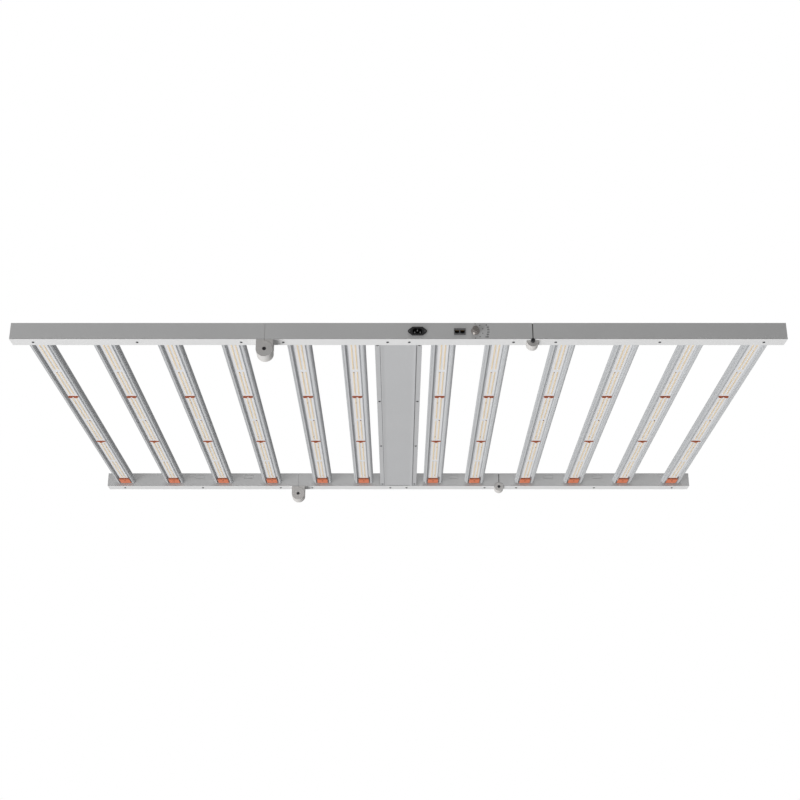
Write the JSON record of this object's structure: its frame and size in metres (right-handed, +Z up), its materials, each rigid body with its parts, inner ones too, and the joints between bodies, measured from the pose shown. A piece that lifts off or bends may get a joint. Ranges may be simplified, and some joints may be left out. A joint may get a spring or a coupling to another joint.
{
  "type": "led grow light",
  "caption": "Folding grow light: LED bars run between two cross beams whose hinged end sections fold down and under the centre section, with a driver housing down the middle.",
  "frame": {"origin": "middle of the driver housing's top face, level with the tops of the cross beams, which is the plane the light hangs from", "axes": "+X along the cross beams, +Y from the beam with the power inlet and dimmer to the other beam, +Z up; the LEDs shine along -Z"},
  "size_m": [2, 1.2741, 0.0938],
  "materials": {
    "beam_paint": "satin light grey powder coat",
    "sheet_paint": "satin light grey powder coat",
    "bar_alloy": "satin anodised extrusion",
    "board_white": "white solder mask",
    "driver_case": "ribbed extruded case",
    "hinge_alloy": "bare machined",
    "bolt_steel": "dark zinc plate",
    "black_plastic": "moulded",
    "grey_plastic": "moulded",
    "knob_metal": "turned and knurled",
    "orange_plastic": "moulded",
    "led_phosphor": "warm phosphor dome",
    "screw_steel": "zinc plated",
    "print_ink": "screen printed"
  },
  "bodies": {
    "centre_section": {"front_beam_centre": "beam_paint", "front_bottom_plate_centre": "beam_paint", "front_left_hinge_centre_leaf": "hinge_alloy", "front_left_hinge_bolt": "bolt_steel", "front_right_hinge_centre_leaf": "hinge_alloy", "front_right_hinge_bolt": "bolt_steel", "rear_beam_centre": "beam_paint", "rear_bottom_plate_centre": "beam_paint", "rear_left_hinge_centre_leaf": "hinge_alloy", "rear_left_hinge_bolt": "bolt_steel", "rear_right_hinge_centre_leaf": "hinge_alloy", "rear_right_hinge_bolt": "bolt_steel", "light_bar_05": "bar_alloy", "led_board_05": "board_white", "light_bar_06": "bar_alloy", "led_board_06": "board_white", "light_bar_07": "bar_alloy", "led_board_07": "board_white", "light_bar_08": "bar_alloy", "led_board_08": "board_white", "driver_housing": "sheet_paint", "driver_cover": "sheet_paint", "led_driver_front": "driver_case", "led_driver_rear": "driver_case", "power_inlet": "black_plastic", "dimming_ports": "grey_plastic", "dimmer_potentiometer": "grey_plastic"},
    "left_wing": {"front_beam_left": "beam_paint", "front_bottom_plate_left": "beam_paint", "front_left_hinge_wing_leaf": "hinge_alloy", "rear_beam_left": "beam_paint", "rear_bottom_plate_left": "beam_paint", "rear_left_hinge_wing_leaf": "hinge_alloy", "light_bar_01": "bar_alloy", "led_board_01": "board_white", "light_bar_02": "bar_alloy", "led_board_02": "board_white", "light_bar_03": "bar_alloy", "led_board_03": "board_white", "light_bar_04": "bar_alloy", "led_board_04": "board_white"},
    "right_wing": {"front_beam_right": "beam_paint", "front_bottom_plate_right": "beam_paint", "front_right_hinge_wing_leaf": "hinge_alloy", "rear_beam_right": "beam_paint", "rear_bottom_plate_right": "beam_paint", "rear_right_hinge_wing_leaf": "hinge_alloy", "light_bar_09": "bar_alloy", "led_board_09": "board_white", "light_bar_10": "bar_alloy", "led_board_10": "board_white", "light_bar_11": "bar_alloy", "led_board_11": "board_white", "light_bar_12": "bar_alloy", "led_board_12": "board_white"},
    "dimmer": {"dimmer_knob": "knob_metal", "dimmer_shaft": "knob_metal"}
  },
  "joints": [
    {"name": "left_wing_fold", "type": "hinge", "parent": "centre_section", "child": "left_wing", "pos_m": [-0.344, 0, -0.072], "axis": [0, -1, 0], "range_deg": [0, 180]},
    {"name": "right_wing_fold", "type": "hinge", "parent": "centre_section", "child": "right_wing", "pos_m": [0.346, 0, -0.0475], "axis": [0, 1, 0], "range_deg": [0, 180]},
    {"name": "dimmer_knob_turn", "type": "hinge", "parent": "centre_section", "child": "dimmer", "pos_m": [0.198, -0.63, -0.023], "axis": [0, 1, 0], "range_deg": [0, 180]}
  ]
}
